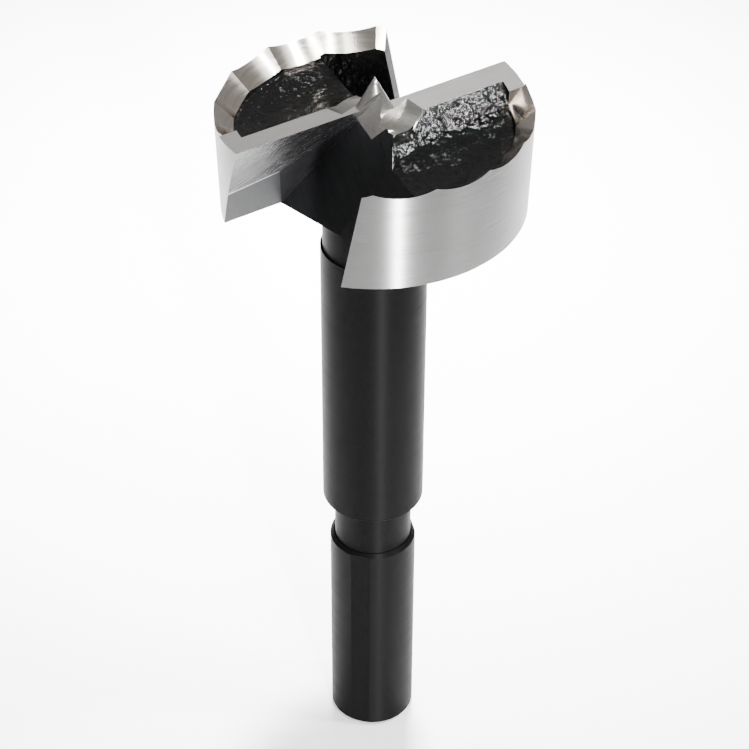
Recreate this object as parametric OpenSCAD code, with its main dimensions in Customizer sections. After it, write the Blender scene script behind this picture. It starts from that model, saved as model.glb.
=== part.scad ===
// Two-wing boring bit with a scalloped rim, turned shank and ground head, in millimetres.
// Stands on the shank end: the axis is +Z, and the origin is the middle of the shank end.

/* [Overall] */
// Diameter over the rim at its top
head_d = 33; // [26:0.5:45]
// Length from the shank end to the point of the centre tip
overall_len = 90; // [86:0.5:110]
// Height of the centre tip above the rim
tip_rise = 3.5; // [2.5:0.1:5]
// Height of the rim wall
rim_h = 11.4; // [9.5:0.1:14]

/* [Shank and body] */
// Diameter of the shank that goes in the chuck
shank_d = 10; // [8:0.1:10.8]
// Length of the shank below the groove
shank_len = 28.5; // [20:0.5:29]
// Chamfer at the end of the shank
shank_chamfer = 0.6; // [0.2:0.1:1]
// Number of shallow flats ground on the shank
flat_count = 3; // [0:1:3]
// Depth of each flat
flat_depth = 0.14; // [0.02:0.01:0.2]
// Height at which the body starts above the groove
body_start = 34.4; // [32:0.1:40]
// Diameter of the groove between shank and body
groove_d = 8.9; // [7:0.1:9.4]
// Diameter of the body
body_d = 11.6; // [11.2:0.1:13]
// Length of the neck under the head
neck_len = 5.6; // [3:0.1:8]
// Diameter of the neck
neck_d = 11.1; // [10:0.1:11.6]

/* [Rim] */
// Thickness of the rim wall at its top
rim_wall = 2; // [1.6:0.1:2.4]
// Thickness of the rim where it runs on past the web
skirt_wall = 1.8; // [1.5:0.1:2.3]
// How much the rim radius shrinks from top to bottom
back_taper = 0.3; // [0:0.05:0.5]
// Angle that each wing spans, from cutting edge to trailing end
wing_span = 128; // [118:1:134]
// Lean of the trailing end of the rim
trail_lean = 11; // [0:0.5:16]
// Turn of the trailing end face away from radial
trail_turn = 12; // [0:1:16]

/* [Scallops] */
// Angle from one scallop to the next
scallop_pitch = 22; // [18:0.2:24]
// Number of scallops along each wing
scallop_count = 6; // [5:1:6]
// Angle from the cutting edge to the first crest
first_crest = 14.4; // [12:0.2:18]
// Depth of a scallop below its crests at the outer edge
scallop_dip = 0.55; // [0.3:0.05:0.8]
// Slope of the ground bevel inside the rim, from horizontal
bevel_slope = 42; // [36:1:48]

/* [Cutting edges] */
// Bearing of the first cutting edge from the +X axis
edge_bearing = 34; // [0:1:90]
// Rake of the face below each cutting edge, from vertical
rake = 23; // [16:0.5:28]
// Clearance angle of the land behind each edge
clearance = 7; // [5:0.5:9]
// Width of the land behind each edge
land_w = 2.8; // [2.2:0.1:3.6]

/* [Pocket and gullet] */
// Depth of the pocket floor below the rim crests
pocket_depth = 3.5; // [3:0.1:5]
// Slope of the pocket's front wall behind the land, from vertical
pocket_slope = 50; // [30:1:60]
// How far the pocket's floor stays inside its top, along the rim
pocket_draft = 1.4; // [0.5:0.1:2.5]
// Height of the sloping foot of the rim wall above the pocket floor
pocket_foot = 0.7; // [0.3:0.1:0.9]
// Bearing of the gullet's back wall from the cutting edge
back_bearing = 12; // [6:1:18]
// Lean of the gullet's back wall
back_lean = 30; // [26:0.5:34]
// Height above the rim crests at which the back wall reaches the axis
back_top = 1.4; // [0.8:0.1:2]
// Bearing of the small inner wall beside the rim from the cutting edge
side_bearing = -9; // [-16:1:-2]
// Lean of the small inner wall
side_lean = 32; // [28:0.5:36]
// Depth below the rim crests at which the small wall reaches the axis
side_top = 1.6; // [1:0.1:2.4]

/* [Centre tip] */
// Radius of the flared foot of the tip
tip_foot_r = 4.3; // [3.6:0.1:5]
// Radius of the tip where the straight point ends
tip_waist_r = 1.3; // [1:0.05:1.6]
// Depth of the flared foot below the rim crests
tip_foot_drop = 1.1; // [0.8:0.1:1.6]
// Radius of the hub where it meets the pocket floor
hub_r = 6; // [5:0.1:7]
// Radius of the wheel that grinds the hollow beside the tip
scoop_r = 5.3; // [4:0.1:8]
// Distance of the hollow's flat side from the axis
scoop_gap = 1.75; // [1.5:0.05:2]
// Depth of the hollow below the rim crests
scoop_depth = 1.2; // [1.1:0.05:1.6]
// Bearing of the hollow from the cutting edge
scoop_bearing = -70; // [-85:1:-50]

/* [Hidden] */
$fn = 96;
head_r = head_d / 2;
rim_z = overall_len - tip_rise;
head_z = rim_z - rim_h;
rim_in_r = head_r - rim_wall;
shank_r = shank_d / 2;
floor_z = rim_z - pocket_depth;
far = 4 * head_r;
// The blank is a little taller than the crests, so that each crest is ground sharp.
spare = 0.5;
half_chord = head_r * sin(scallop_pitch / 2);
rim_rise = head_r * (1 - cos(scallop_pitch / 2)) * tan(bevel_slope);
// Sagitta of one scallop across its bevel, and the grinding wheel radius that gives it.
sag = (scallop_dip + rim_rise) * cos(bevel_slope);
wheel_r = (pow(half_chord, 2) + pow(sag, 2)) / (2 * sag);
wheel_reach = (rim_wall + 0.5) / cos(bevel_slope);
// The land is ground past the first crest, a little way into the first scallop.
land_run = head_r * sin(first_crest + 2);
waist_z = rim_z + tip_rise * 0.28;
foot_z = rim_z - tip_foot_drop;
// The flare starts a little inside the straight point, so that the two cross cleanly.
flare_run = tip_foot_r - tip_waist_r + 0.1;
point_r = tip_waist_r * (tip_rise + 1) / (overall_len - waist_z);
flare_drop = waist_z - foot_z;
flare_r = (pow(flare_run, 2) + pow(flare_drop, 2)) / (2 * flare_drop);

// Everything on the +X side of a wall that faces a bearing and leans back by an angle.
module in_front(bearing, lean, z) {
    translate([0, 0, z]) rotate([0, 0, bearing]) rotate([0, -lean, 0])
        translate([0, -far, -far]) cube(2 * far);
}

// Everything ahead of the raked face of the wing whose edge lies along +X.
module ahead_of_edge() {
    translate([0, 0, rim_z]) rotate([-rake, 0, 0]) translate([-far, 0, -far]) cube(2 * far);
}

// The gap between the trailing end of the next rim and the cutting edge along +X.
module throat() {
    bearing = 180 - wing_span;
    translate([head_r * cos(bearing), head_r * sin(bearing), rim_z])
        rotate([0, 0, bearing - trail_turn]) rotate([-trail_lean, 0, 0])
            translate([-far, -2 * far, -far]) cube(2 * far);
}

// Chip gullet ahead of the edge along +X: it runs out through the throat and inside the rim.
module gullet() {
    intersection() {
        ahead_of_edge();
        in_front(back_bearing, back_lean, rim_z + back_top);
        in_front(side_bearing, side_lean, rim_z - side_top);
        union() {
            translate([0, 0, head_z - 1]) cylinder(r = head_r - skirt_wall, h = rim_h + 4);
            throat();
        }
    }
}

// Sunk pocket behind the land: its front wall slopes down from the land, and its rim wall has a sloping foot.
module pocket() {
    edge_z = rim_z - land_w * tan(clearance);
    intersection() {
        rotate_extrude() polygon([[0, floor_z], [rim_in_r - pocket_draft, floor_z],
            [rim_in_r, floor_z + pocket_foot], [rim_in_r, rim_z + 2], [0, rim_z + 2]]);
        translate([0, -land_w, edge_z]) rotate([-pocket_slope, 0, 0])
            translate([-far, -2 * far, -far]) cube(2 * far);
    }
}

// Ground land that falls away behind the edge along +X.
module land_cut() {
    intersection() {
        translate([0, 0, rim_z]) rotate([clearance, 0, 0]) translate([-far, -far, 0])
            cube([2 * far, 2 * far, far]);
        translate([-2, -land_run, rim_z - rim_wall])
            cube([head_r + 4, land_run + 2, rim_wall + spare + 1]);
    }
}

// One pass of the grinding wheel that bevels the rim from inside.
module wheel_pass(bearing) {
    rotate([0, 0, bearing]) translate([head_r, 0, rim_z - scallop_dip])
        rotate([0, -90 - bevel_slope, 0]) translate([wheel_r, 0, -2 * rim_wall])
            cylinder(r = wheel_r, h = 2 * rim_wall + wheel_reach);
}

// Centre tip: a straight point on a flared foot, which stands on the hub between the pockets.
module tip() {
    hub_drop = foot_z - floor_z;
    union() {
        translate([0, 0, rim_z - 1]) cylinder(r1 = point_r, r2 = 0, h = tip_rise + 1);
        rotate_extrude() difference() {
            polygon([[0, floor_z - hub_drop], [2 * hub_r - tip_foot_r, floor_z - hub_drop], [tip_foot_r, foot_z],
                [tip_foot_r, waist_z], [0, waist_z]]);
            translate([tip_foot_r, foot_z + flare_r]) circle(r = flare_r);
        }
    }
}

// Hollow that a wheel grinds into the foot of the tip, behind the edge along +X.
module scoop() {
    rotate([0, 0, scoop_bearing]) translate([scoop_gap, 0, rim_z - scoop_depth + scoop_r])
        rotate([0, 90, 0]) cylinder(r = scoop_r, h = hub_r);
}

// Turned head with its pockets and lands.
module head_blank() {
    difference() {
        translate([0, 0, head_z])
            cylinder(r1 = head_r - back_taper, r2 = head_r + back_taper * spare / rim_h,
                     h = rim_h + spare);
        for (wing = [0, 1]) rotate([0, 0, edge_bearing + 180 * wing]) {
            pocket();
            land_cut();
        }
    }
}

// Head with its tip, after the gullets are milled and before the rim is ground.
module milled_head() {
    difference() {
        union() {
            head_blank();
            tip();
        }
        for (wing = [0, 1]) rotate([0, 0, edge_bearing + 180 * wing]) {
            gullet();
            scoop();
        }
    }
}

// Head after a number of grinding passes on each wing, one behind the other from the land.
module ground_head(passes) {
    if (passes == 0) milled_head();
    else difference() {
        ground_head(passes - 1);
        for (wing = [0, 1]) rotate([0, 0, edge_bearing + 180 * wing]) intersection() {
            wheel_pass(-first_crest - (passes - 0.5) * scallop_pitch);
            translate([-far, 0.1 - land_run - 2 * far, 0]) cube([2 * far, 2 * far, 2 * overall_len]);
        }
    }
}

// Shank with shallow flats.
module shank() {
    difference() {
        rotate_extrude() polygon([[0, 0], [shank_r - shank_chamfer, 0], [shank_r, shank_chamfer],
            [shank_r, shank_len - 0.4], [shank_r - 0.4, shank_len], [0, shank_len]]);
        if (flat_count > 0) for (i = [0 : flat_count - 1]) rotate([0, 0, 253 + 360 / flat_count * i])
            translate([shank_r - flat_depth, -far, -1]) cube([far, 2 * far, shank_len + 2]);
    }
}

// Groove, body and neck in one turning.
module body() {
    rotate_extrude() polygon([[0, 0.1], [groove_d / 2, 0.1 + shank_chamfer], [groove_d / 2, body_start],
        [body_d / 2 - 0.3, body_start], [body_d / 2, body_start + 0.3],
        [body_d / 2, head_z - neck_len], [neck_d / 2, head_z - neck_len],
        [neck_d / 2, head_z + 1], [0, head_z + 1]]);
}

module forstner_bit() color([0.25, 0.25, 0.26]) {
    ground_head(scallop_count);
    body();
    shank();
}

forstner_bit();
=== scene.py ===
"""A two-wing boring bit with a scalloped ground rim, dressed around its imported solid, in metres."""

import math

import bmesh
import bpy
import numpy as np
from mathutils import Matrix, Vector


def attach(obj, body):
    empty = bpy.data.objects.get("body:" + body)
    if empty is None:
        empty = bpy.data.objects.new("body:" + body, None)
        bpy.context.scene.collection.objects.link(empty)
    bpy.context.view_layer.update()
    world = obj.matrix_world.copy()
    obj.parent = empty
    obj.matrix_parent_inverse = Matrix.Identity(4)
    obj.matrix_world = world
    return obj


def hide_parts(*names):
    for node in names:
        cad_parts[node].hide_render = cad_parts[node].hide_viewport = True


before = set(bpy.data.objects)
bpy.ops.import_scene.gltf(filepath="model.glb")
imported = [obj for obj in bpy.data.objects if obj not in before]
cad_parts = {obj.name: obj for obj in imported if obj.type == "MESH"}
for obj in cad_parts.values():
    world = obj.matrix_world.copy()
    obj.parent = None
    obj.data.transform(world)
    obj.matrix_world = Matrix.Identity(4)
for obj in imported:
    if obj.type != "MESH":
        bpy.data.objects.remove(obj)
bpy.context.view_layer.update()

# The blank: one bar of tool steel, turned, milled and ground all over, so the bit is one piece.
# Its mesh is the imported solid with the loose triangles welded, and each finish below claims its
# own faces. Lengths are given in millimetres, and MM makes them the frame's metres.
MM = 0.001
WELD = 0.0005 * MM
# Underside of the head, top of the rim, radius of the rim; a face is in the head from ABOVE on.
HEAD_Z, RIM_Z, RIM_R = 75.1, 86.5, 16.5
ABOVE = HEAD_Z + 0.01
# Bearing of the first cutting edge in degrees; the second is half a turn on.
FIRST_EDGE = 34
EDGE_BEARINGS = (math.radians(FIRST_EDGE), math.radians(FIRST_EDGE + 180))
# Faces whose normals agree to this cosine count as one plane.
SAME_PLANE = 0.999


def read(items, field, kind, width=1):
    """One field of all items as an array, in rows of width numbers where an item has several."""
    values = np.zeros(len(items) * width, kind)
    items.foreach_get(field, values)
    return values.reshape(-1, width) if width > 1 else values


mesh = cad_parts["forstner_bit"].data.copy()
mesh.name = "bit"
mesh.materials.clear()
exact = read(mesh.corner_normals, "vector", np.float32, 3)
kept = mesh.attributes.new("exact_normal", "FLOAT_VECTOR", "CORNER")
kept.data.foreach_set("vector", exact.ravel())
bm = bmesh.new()
bm.from_mesh(mesh)
bmesh.ops.remove_doubles(bm, verts=bm.verts, dist=WELD)


def survey():
    """Middle and normal of each face, its distance from the axis, and its outward lean.

    The lean is the flat part of the normal times the direction from the axis to the middle."""
    middle = np.array([f.calc_center_median() for f in bm.faces]) / MM
    normal = np.array([f.normal for f in bm.faces])
    radius = np.hypot(middle[:, 0], middle[:, 1])
    lean = normal[:, 0] * middle[:, 0] + normal[:, 1] * middle[:, 1]
    return middle, normal, radius, lean / np.maximum(radius, 1e-6)


def along_edge(points, bearing):
    """Turns points back by a cutting edge's bearing: x runs out along that edge, y ahead of it."""
    c, s = math.cos(bearing), math.sin(bearing)
    x, y, z = np.moveaxis(np.asarray(points, float), -1, 0)
    return np.stack([c * x + s * y, c * y - s * x, z], axis=-1)


def edges_of(faces):
    """Edges of faces, each once and in the faces' order, so that every run cuts alike."""
    return list(dict.fromkeys(e for f in faces for e in f.edges))


def part_along(facing, start, end, bearing):
    """Parts the faces that look along facing on the line from start to end, given along an edge.

    The cutting plane holds the line and the faces' normal, so it stands square on the faces."""
    turn = Matrix.Rotation(bearing, 3, "Z")
    way = turn @ Vector(facing)
    flat = [f for f in bm.faces if f.normal.dot(way) > SAME_PLANE]
    corners = list(dict.fromkeys(v for f in flat for v in f.verts))
    bmesh.ops.bisect_plane(bm, geom=flat + edges_of(flat) + corners, dist=WELD,
                           plane_co=turn @ Vector(start) * MM,
                           plane_no=(turn @ (Vector(end) - Vector(start))).cross(way))


def wear(chosen, material):
    """Gives the chosen faces a finish."""
    if material.name not in mesh.materials:
        mesh.materials.append(material)
    number = mesh.materials.find(material.name)
    for face, mine in zip(bm.faces, chosen):
        if mine:
            face.material_index = number


# Turned body, groove and shank: bar steel turned on a lathe and blackened in a hot oxide bath.
# The tool leaves fine rings, which draw the light into upright streaks. The whole blank starts in
# this finish.
def steel(name, colour, metallic, roughness, grain, turn=(0, 0, 0), *, tone, gloss, relief,
          drawn=0.0, sheen=0.5, detail=3):
    """Steel whose colour, gloss and height follow one noise, stretched along the tool marks.

    grain is the size of the marks along three axes in millimetres, turned by turn in degrees.
    tone and gloss are how far colour and roughness swing either way, relief is the depth of the
    marks in millimetres, and drawn is the anisotropy of marks that run round the axis."""
    material = bpy.data.materials.new(name)
    material.use_nodes = True
    nodes, links = material.node_tree.nodes, material.node_tree.links
    shader = nodes["Principled BSDF"]
    shader.inputs["Metallic"].default_value = metallic
    shader.inputs["Specular IOR Level"].default_value = sheen
    place = nodes.new("ShaderNodeTexCoord")
    marks = nodes.new("ShaderNodeMapping")
    marks.vector_type = "TEXTURE"
    marks.inputs["Rotation"].default_value = [math.radians(a) for a in turn]
    marks.inputs["Scale"].default_value = [s * MM for s in grain]
    noise = nodes.new("ShaderNodeTexNoise")
    noise.inputs["Scale"].default_value = 1
    noise.inputs["Detail"].default_value = detail
    links.new(place.outputs["Object"], marks.inputs["Vector"])
    links.new(marks.outputs["Vector"], noise.inputs["Vector"])
    # Most of the noise lies between these two values.
    low, high = 0.3, 0.7
    ramp = nodes.new("ShaderNodeValToRGB")
    for element, at, share in zip(ramp.color_ramp.elements, (low, high), (1 - tone, 1 + tone)):
        element.position = at
        element.color = (*[c * share for c in colour], 1)
    links.new(noise.outputs["Fac"], ramp.inputs["Fac"])
    links.new(ramp.outputs["Color"], shader.inputs["Base Color"])
    swing = nodes.new("ShaderNodeMapRange")
    swing.inputs["From Min"].default_value = low
    swing.inputs["From Max"].default_value = high
    swing.inputs["To Min"].default_value = roughness - gloss
    swing.inputs["To Max"].default_value = roughness + gloss
    links.new(noise.outputs["Fac"], swing.inputs["Value"])
    links.new(swing.outputs["Result"], shader.inputs["Roughness"])
    bump = nodes.new("ShaderNodeBump")
    bump.inputs["Strength"].default_value = 1
    bump.inputs["Distance"].default_value = relief * MM
    links.new(noise.outputs["Fac"], bump.inputs["Height"])
    links.new(bump.outputs["Normal"], shader.inputs["Normal"])
    if drawn:
        # A quarter turn sets the streaks across the marks.
        shader.inputs["Anisotropic"].default_value = drawn
        shader.inputs["Anisotropic Rotation"].default_value = 0.25
        tangent = nodes.new("ShaderNodeTangent")
        tangent.direction_type, tangent.axis = "RADIAL", "Z"
        links.new(tangent.outputs["Tangent"], shader.inputs["Tangent"])
    return material


turned = steel("turned oxide", (0.002, 0.002, 0.0021), 0, 0.46, (15, 15, 0.1),
               tone=0.1, gloss=0.05, relief=0.003, drawn=0.8, sheen=0.03)
wear(np.ones(len(bm.faces), bool), turned)

# Pockets: the sunk floors behind the lands, the walls round them and the inside of the rim.
# They are left as forged, coarse and glossy under the oxide, and every face of the head that
# nothing below grinds or mills keeps this skin.
forged = steel("forged skin", (0.003, 0.003, 0.003), 0, 0.14, (0.13, 0.26, 0.18),
               (0, 0, FIRST_EDGE), tone=0.5, gloss=0.04, relief=0.03, sheen=0.2, detail=1)
middle, normal, radius, outward = survey()
in_head = (middle[:, 2] > ABOVE) & (normal[:, 2] > -SAME_PLANE)
wear(in_head, forged)
FORGED = mesh.materials.find(forged.name)

# Rim: the outside of both wings, ground to size on a cylindrical grinder and left bright.
# The grinding lines run round it, so a lamp shows as one upright streak.
# The rim's faces lie in this outermost depth and lean outwards by more than this.
RIM_DEPTH, FACES_OUT = 0.5, 0.9
rim = steel("ground rim", (0.22, 0.218, 0.215), 1, 0.3, (8, 8, 0.07),
            tone=0.06, gloss=0.04, relief=0.001, drawn=1.0)
wear(in_head & (radius > RIM_R - RIM_DEPTH) & (outward > FACES_OUT), rim)

# Scallops: a wheel bevels the inside of the rim in overlapping passes, which leaves the crests.
# Each hollow is bright, slightly straw-coloured from the heat, with fine lines along the wheel's
# travel, and so is the step behind each land, where the first pass starts.
# Least radius of the hollows, and how far their faces lean inwards and upwards.
BEVEL_R, BEVEL_IN, BEVEL_UP = 14.4, 0.3, 0.4
# Least radius and height of the step, and how squarely it faces back from the edge.
STEP_R, STEP_Z, STEP_BACK = 13, 83.7, 0.99
bevel = steel("wheel-ground bevel", (0.5, 0.46, 0.41), 1, 0.2, (6, 6, 0.07),
              tone=0.06, gloss=0.06, relief=0.001)
wear(in_head & (radius > BEVEL_R) & (outward < -BEVEL_IN) & (normal[:, 2] > BEVEL_UP), bevel)
for bearing in EDGE_BEARINGS:
    faces_back = along_edge(normal, bearing)[:, 1] < -STEP_BACK
    beside_rim = (radius > STEP_R) & (outward < FACES_OUT) & (middle[:, 2] > STEP_Z)
    wear(in_head & beside_rim & faces_back, bevel)

# Lands: the narrow flats behind the cutting edges, ground with a few degrees of clearance.
# A cup wheel leaves fine lines along the edge.
CLEARANCE = math.radians(7)
# Least height of a land, and the cosine to which its faces keep to its plane.
LAND_Z, LAND_PLANE = 85.8, 0.9999
LAND_UP = (0, -math.sin(CLEARANCE), math.cos(CLEARANCE))
land = steel("ground land", (0.8, 0.78, 0.75), 1, 0.36, (3, 0.09, 3), (0, 0, FIRST_EDGE),
             tone=0.03, gloss=0.03, relief=0.0005)
for bearing in EDGE_BEARINGS:
    cleared = along_edge(normal, bearing) @ LAND_UP > LAND_PLANE
    wear(in_head & (middle[:, 2] > LAND_Z) & cleared, land)

# Raked faces: below each cutting edge a wheel grinds a bright strip down to a fine lip, and a paler
# band along that lip is painted highlight. Under its outer half the face is blasted grey, and the
# inner part stays black as milled.
RAKE = math.radians(23)
RAKED = (0, math.cos(RAKE), -math.sin(RAKE))
# Height of the painted lip highlight, and the slope of the wheel's lines on the strip in degrees.
LIP_HIGHLIGHT, STRIP_SLOPE = 0.16, 29
# Lower border of the strip and inner side of the blasted part: distance out along the edge, height.
STRIP_OUT, STRIP_KNEE, STRIP_IN = (16.2, 79.9), (10.1, 80.8), (1.8, 85.0)
FLANK_FOOT = (8.5, HEAD_Z)


def on_raked(x, z):
    """Point of the raked face at a distance out and a height: the face leans back by the rake."""
    return (x, (z - RIM_Z) * -RAKED[2] / RAKED[1], z)


def over(line, x, z):
    """Height of (x, z) over the line through two points: z less the line's own height at x."""
    (x0, z0), (x1, z1) = line
    return z - z0 - (x - x0) * (z1 - z0) / (x1 - x0)


# The lip's colour is a painted highlight: a paler band for the light caught along the lip.
painted_lip_highlight = steel("painted lip highlight", (0.6, 0.6, 0.6), 1, 0.4, (4, 4, 0.1),
                   tone=0.1, gloss=0.05, relief=0.001)
# This grey also paints the highlight along the edge where each back wall meets the raked face.
flank_and_edge_highlight = steel("blasted flank and edge highlight", (0.05, 0.05, 0.052), 1, 0.5, (0.3, 0.3, 0.3),
                tone=0.06, gloss=0.05, relief=0.002)
milled = steel("milled oxide", (0.004, 0.004, 0.0045), 0, 0.45, (6, 6, 0.2), (30, 20, 0),
               tone=0.3, gloss=0.08, relief=0.004, sheen=0.1)
lip_highlight_line = [(x, z + LIP_HIGHLIGHT) for x, z in (STRIP_OUT, STRIP_KNEE)]
for bearing in EDGE_BEARINGS:
    for start, end in ((STRIP_OUT, STRIP_KNEE), (STRIP_KNEE, STRIP_IN), (STRIP_KNEE, FLANK_FOOT),
                       lip_highlight_line):
        part_along(RAKED, on_raked(*start), on_raked(*end), bearing)
middle, normal, *_ = survey()
for bearing in EDGE_BEARINGS:
    x, _, z = along_edge(middle, bearing).T
    raked = along_edge(normal, bearing) @ RAKED > SAME_PLANE
    border = np.where(x > STRIP_KNEE[0], over((STRIP_OUT, STRIP_KNEE), x, z),
                      over((STRIP_KNEE, STRIP_IN), x, z))
    outer = x > np.interp(z, (FLANK_FOOT[1], STRIP_KNEE[1]), (FLANK_FOOT[0], STRIP_KNEE[0]))
    degrees = math.degrees(bearing)
    strip = steel(f"ground strip {degrees:.0f}", (0.34, 0.34, 0.34), 1, 0.26, (9, 3, 0.22),
                  (0, STRIP_SLOPE, degrees), tone=0.1, gloss=0.03, relief=0.0002)
    wear(raked & (border > 0), strip)
    # Painted highlight: the thin band just above the strip's lower border, on its outer part.
    wear(raked & (border > 0) & (border < LIP_HIGHLIGHT) & (x > STRIP_KNEE[0]), painted_lip_highlight)
    wear(raked & (border <= 0) & outer, flank_and_edge_highlight)
    wear(raked & (border <= 0) & ~outer, milled)


# Gullets: the sloping back walls that throw the chips out, milled before the oxide bath.
# A fine line of painted highlight, in the blasted flank's grey, runs where the back wall meets the
# raked face, and the top of the wall is ground for the tip.
def leaning(bearing, slope):
    """Normal of a wall that faces a bearing and leans back by a slope, both in degrees."""
    b, s = math.radians(bearing), math.radians(slope)
    return (math.cos(b) * math.cos(s), math.sin(b) * math.cos(s), math.sin(s))


BACK, SIDE = leaning(12, 30), leaning(-9, 32)
# Corners of the ground top on the back wall, along the edge.
GROUND_TOP = np.array(((1.75, -0.29, 85.06), (1.76, 2.09, 84.18), (0.89, 2.91, 85.36)))
EDGE_TOP = np.array((0, 0, RIM_Z))
# Width of the painted edge highlight.
EDGE_HIGHLIGHT_WIDTH = 0.1
tip_ground = steel("ground tip", (0.4, 0.385, 0.365), 1, 0.3, (1.5, 1.5, 0.08),
                   tone=0.04, gloss=0.03, relief=0.0005)
edge_highlight_start = EDGE_TOP + np.array(RAKED) * EDGE_HIGHLIGHT_WIDTH
for bearing in EDGE_BEARINGS:
    part_along(BACK, GROUND_TOP[0], GROUND_TOP[1], bearing)
    part_along(BACK, GROUND_TOP[1], GROUND_TOP[2], bearing)
    part_along(BACK, edge_highlight_start, edge_highlight_start + np.cross(BACK, RAKED), bearing)
middle, normal, radius, _ = survey()
for bearing in EDGE_BEARINGS:
    place = along_edge(middle, bearing)
    facing = along_edge(normal, bearing)
    back = facing @ BACK > SAME_PLANE
    above_first, above_second = ((place - start) @ np.cross(BACK, end - start) > 0
                                 for start, end in zip(GROUND_TOP[:-1], GROUND_TOP[1:]))
    wear(back | (facing @ SIDE > SAME_PLANE), milled)
    # Painted highlight: a thin band of the blasted grey along the edge with the raked face.
    wear(back & ((place - EDGE_TOP) @ RAKED < EDGE_HIGHLIGHT_WIDTH), flank_and_edge_highlight)
    wear(back & above_first & above_second, tip_ground)

# Trailing ends: the faces where each wing stops, milled and blued by the oxide bath.
# Fine lines of the cutter run up them.
# Upward lean of these faces, and how far it may be off.
TRAIL_UP, TRAIL_BAND = 0.19, 0.03
in_head = middle[:, 2] > ABOVE
blued = steel("blued end", (0.006, 0.0068, 0.008), 0, 0.4, (4, 4, 0.12),
              tone=0.1, gloss=0.05, relief=0.002, sheen=0.15)
wear(in_head & (np.abs(normal[:, 2] - TRAIL_UP) < TRAIL_BAND) & (radius > BEVEL_R), blued)

# Centre tip: the straight point, its flared foot and the hollows ground beside it.
# Everything near the axis that stands above the pockets and isn't finished yet is ground bright.
# Greatest radius and least height of what is ground.
TIP_R, TIP_Z = 5, 85.28
unground = np.array([f.material_index for f in bm.faces]) == FORGED
wear(in_head & (radius < TIP_R) & (middle[:, 2] > TIP_Z) & unground, tip_ground)

# Forged surface: the hammer leaves the pockets round in their corners and rough all over.
# The skin is cut into fine triangles, its inner corners are eased like a dish, and seeded noise
# roughens it, from broad dents down to grains of a quarter of a millimetre.
# Length of the triangles' sides, number of easing passes, and how far a pass pulls a point.
DISH_STEP, DISH_PASSES, DISH_PULL = 0.5 * MM, 80, 0.5
SKIN_STEP, SKIN_PASSES, SKIN_PULL = 0.145 * MM, 12, 0.6
# Only faces that lean upwards by more than this are eased into the dish.
FLOOR_UP = 0.05
# Size and depth of the dents and grains.
SKIN_GRAINS = ((1.1, 0.03), (0.5, 0.045), (0.26, 0.034))


def skin_faces():
    """Faces in the forged finish."""
    return [f for f in bm.faces if f.material_index == FORGED]


def cut_fine(step, longest=1.4, nearly_flat=0.2, rounds=7):
    """Halves the forged faces' edges that are over longest times step, and evens the triangles.

    Only edges between two forged faces that are nearly flat, by an angle in radians, are turned."""
    for _ in range(rounds):
        long_edges = [e for e in edges_of(skin_faces()) if e.calc_length() > longest * step]
        if not long_edges:
            return
        bmesh.ops.subdivide_edges(bm, edges=long_edges, cuts=1)
        skin = bmesh.ops.triangulate(bm, faces=skin_faces())["faces"]
        inner = [e for e in edges_of(skin)
                 if len(e.link_faces) == 2 and e.calc_face_angle(math.pi) < nearly_flat
                 and all(f.material_index == FORGED for f in e.link_faces)]
        bmesh.ops.beautify_fill(bm, faces=skin, edges=inner)


cut_fine(DISH_STEP)
dish = [v for v in bm.verts
        if all(f.material_index == FORGED and f.normal.z > FLOOR_UP for f in v.link_faces)]
for _ in range(DISH_PASSES):
    bmesh.ops.smooth_vert(bm, verts=dish, factor=DISH_PULL,
                          use_axis_x=True, use_axis_y=True, use_axis_z=True)
cut_fine(SKIN_STEP)
bm.to_mesh(mesh)
bm.free()


def value_noise(points, cell, seed, lattice=64):
    """Noise from -1 to 1: random numbers at the corners of a lattice of cubes, eased between."""
    table = np.random.default_rng(seed).uniform(-1, 1, (lattice, lattice, lattice))
    low = np.floor(points / cell).astype(int)
    t = points / cell - low
    t = t * t * (3 - 2 * t)
    total = np.zeros(len(points))
    for step in np.ndindex(2, 2, 2):
        share = np.prod(np.where(np.array(step) == 1, t, 1 - t), axis=1)
        total += share * table[tuple(((low + step) % lattice).T)]
    return total


place = read(mesh.vertices, "co", float, 3)
corner_vertex = read(mesh.loops, "vertex_index", int)
forged_corner = np.repeat(read(mesh.polygons, "material_index", int) == FORGED,
                          read(mesh.polygons, "loop_total", int))
inside = np.zeros(len(place), bool)
inside[corner_vertex[forged_corner]] = True
inside[corner_vertex[~forged_corner]] = False
# Each point of the skin moves towards the mean of its neighbours, the border stays.
ends = read(mesh.edges, "vertices", int, 2)
ends = np.concatenate([ends, ends[:, ::-1]])
ends = ends[inside[ends[:, 0]]]
neighbours = np.maximum(np.bincount(ends[:, 0], minlength=len(place)), 1)
for _ in range(SKIN_PASSES):
    mean = np.stack([np.bincount(ends[:, 0], place[ends[:, 1], axis], len(place))
                     for axis in range(3)], axis=1)
    mean /= neighbours[:, None]
    place[inside] += SKIN_PULL * (mean - place)[inside]
mesh.vertices.foreach_set("co", place.ravel())
mesh.update()
out = read(mesh.vertex_normals, "vector", float, 3)
rough = sum(depth * value_noise(place / MM, cell, seed)
            for seed, (cell, depth) in enumerate(SKIN_GRAINS))
place[inside] += (out * rough[:, None] * MM)[inside]
mesh.vertices.foreach_set("co", place.ravel())
mesh.update()

# The finished bit: ground and turned faces keep the solid's own normals, and the roughened skin
# takes those of its new faces. The bit stands for the part's one solid and rides with it.
corner = read(mesh.attributes["exact_normal"].data, "vector", np.float32, 3)
out = read(mesh.vertex_normals, "vector", float, 3)
in_skin = forged_corner & inside[corner_vertex]
corner[in_skin] = out[corner_vertex[in_skin]]
mesh.attributes.remove(mesh.attributes["exact_normal"])
mesh.polygons.foreach_set("use_smooth", np.ones(len(mesh.polygons), bool))
mesh.normals_split_custom_set(corner)

bit = bpy.data.objects.new("bit", mesh)
bpy.context.scene.collection.objects.link(bit)
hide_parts("forstner_bit")
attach(bit, "root")

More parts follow.
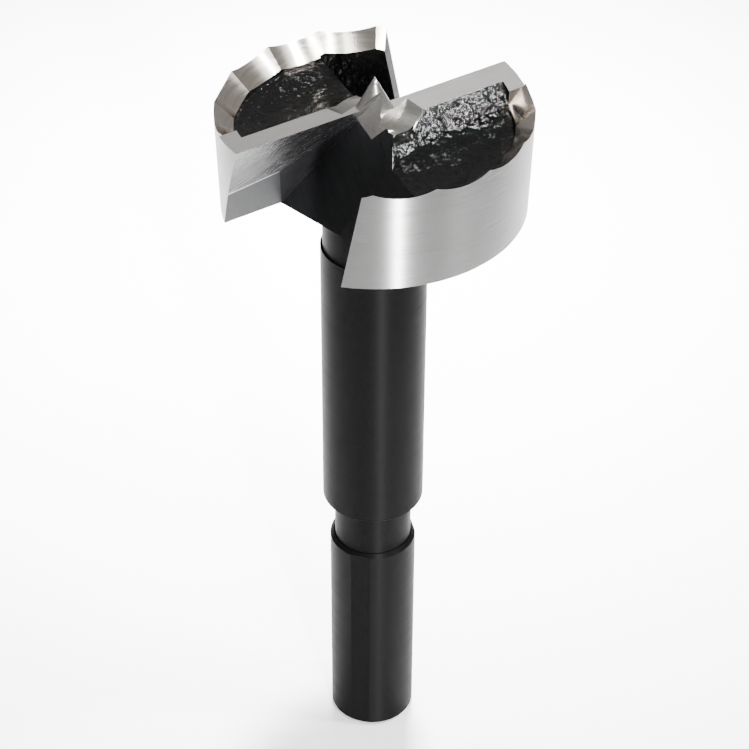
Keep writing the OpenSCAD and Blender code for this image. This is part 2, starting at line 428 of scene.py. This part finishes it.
# Studio: a pale floor under the shank end and a dim white room.
# A lamp behind lights the floor alone, and softboxes in front, to the right and behind light the
# steel.
FLOOR_REACH, FLOOR_TONE, FLOOR_ROUGHNESS = 3, 0.9, 0.9
ROOM_LIGHT = 0.4
floor_mesh = bpy.data.meshes.new("floor")
floor_mesh.from_pydata([(x * FLOOR_REACH, y * FLOOR_REACH, 0)
                        for x, y in ((-1, -1), (1, -1), (1, 1), (-1, 1))], [], [(0, 1, 2, 3)])
floor = bpy.data.objects.new("floor", floor_mesh)
bpy.context.scene.collection.objects.link(floor)
paint = bpy.data.materials.new("pale floor")
paint.use_nodes = True
painted = paint.node_tree.nodes["Principled BSDF"]
painted.inputs["Base Color"].default_value = (FLOOR_TONE, FLOOR_TONE, FLOOR_TONE, 1)
painted.inputs["Roughness"].default_value = FLOOR_ROUGHNESS
floor_mesh.materials.append(paint)
world = bpy.data.worlds.new("studio")
world.use_nodes = True
room = world.node_tree.nodes["Background"]
room.inputs["Color"].default_value = (1, 1, 1, 1)
room.inputs["Strength"].default_value = ROOM_LIGHT
bpy.context.scene.world = world


def softbox(name, place, target, size, power, spread):
    """Rectangular area light at place, turned to shine at target, with its long side upright."""
    data = bpy.data.lights.new(name, "AREA")
    data.shape, data.energy, data.spread = "RECTANGLE", power, math.radians(spread)
    data.size, data.size_y = size
    lamp = bpy.data.objects.new(name, data)
    bpy.context.scene.collection.objects.link(lamp)
    lamp.location = place
    lamp.rotation_euler = (Vector(target) - Vector(place)).to_track_quat("-Z", "Y").to_euler()
    return lamp


floor_lamp = softbox("floor softbox", (0, 0.2, 0.9), (0, 0.11, 0), (0.1, 0.1), power=2, spread=22)
lit_floor = bpy.data.collections.new("lit floor")
lit_floor.objects.link(floor)
floor_lamp.light_linking.receiver_collection = lit_floor
HEAD = (0, 0, 0.08)
softbox("strip softbox", (0.17, -0.605, 0.16), HEAD, (0.03, 0.3), power=1.6, spread=40)
softbox("key softbox", (0.16, -0.3, 0.6), (0, 0.03, 0.05), (0.12, 0.12), power=0.12, spread=30)
softbox("side softbox", (0.5, -0.05, 0.45), HEAD, (0.3, 0.3), power=0.08, spread=50)
softbox("spark lamp", (0.42, -0.06, 0.68), HEAD, (0.06, 0.06), power=0.32, spread=40)
softbox("top lamp", (0, 0.3, 0.75), HEAD, (0.06, 0.06), power=0.05, spread=40)

# Camera: above the bit and in front of it, looking down at the head.
# Its place, turns and lens are fitted to the bit's outline.
CAMERA_PLACE = (0, -0.198794, 0.207816)
PITCH, YAW, ROLL = 0.6662, 0.0006, 0.0049
SENSOR, FOCAL_LENGTH = 36, 108.649
NEAREST, FARTHEST = 0.01, 20
lens = bpy.data.cameras.new("camera")
lens.sensor_width, lens.lens = SENSOR, FOCAL_LENGTH
lens.clip_start, lens.clip_end = NEAREST, FARTHEST
camera = bpy.data.objects.new("camera", lens)
bpy.context.scene.collection.objects.link(camera)
camera.matrix_world = (Matrix.Translation(CAMERA_PLACE) @ Matrix.Rotation(-YAW, 4, "Z")
                       @ Matrix.Rotation(math.pi / 2 - PITCH, 4, "X")
                       @ Matrix.Rotation(ROLL, 4, "Z"))
bpy.context.scene.camera = camera
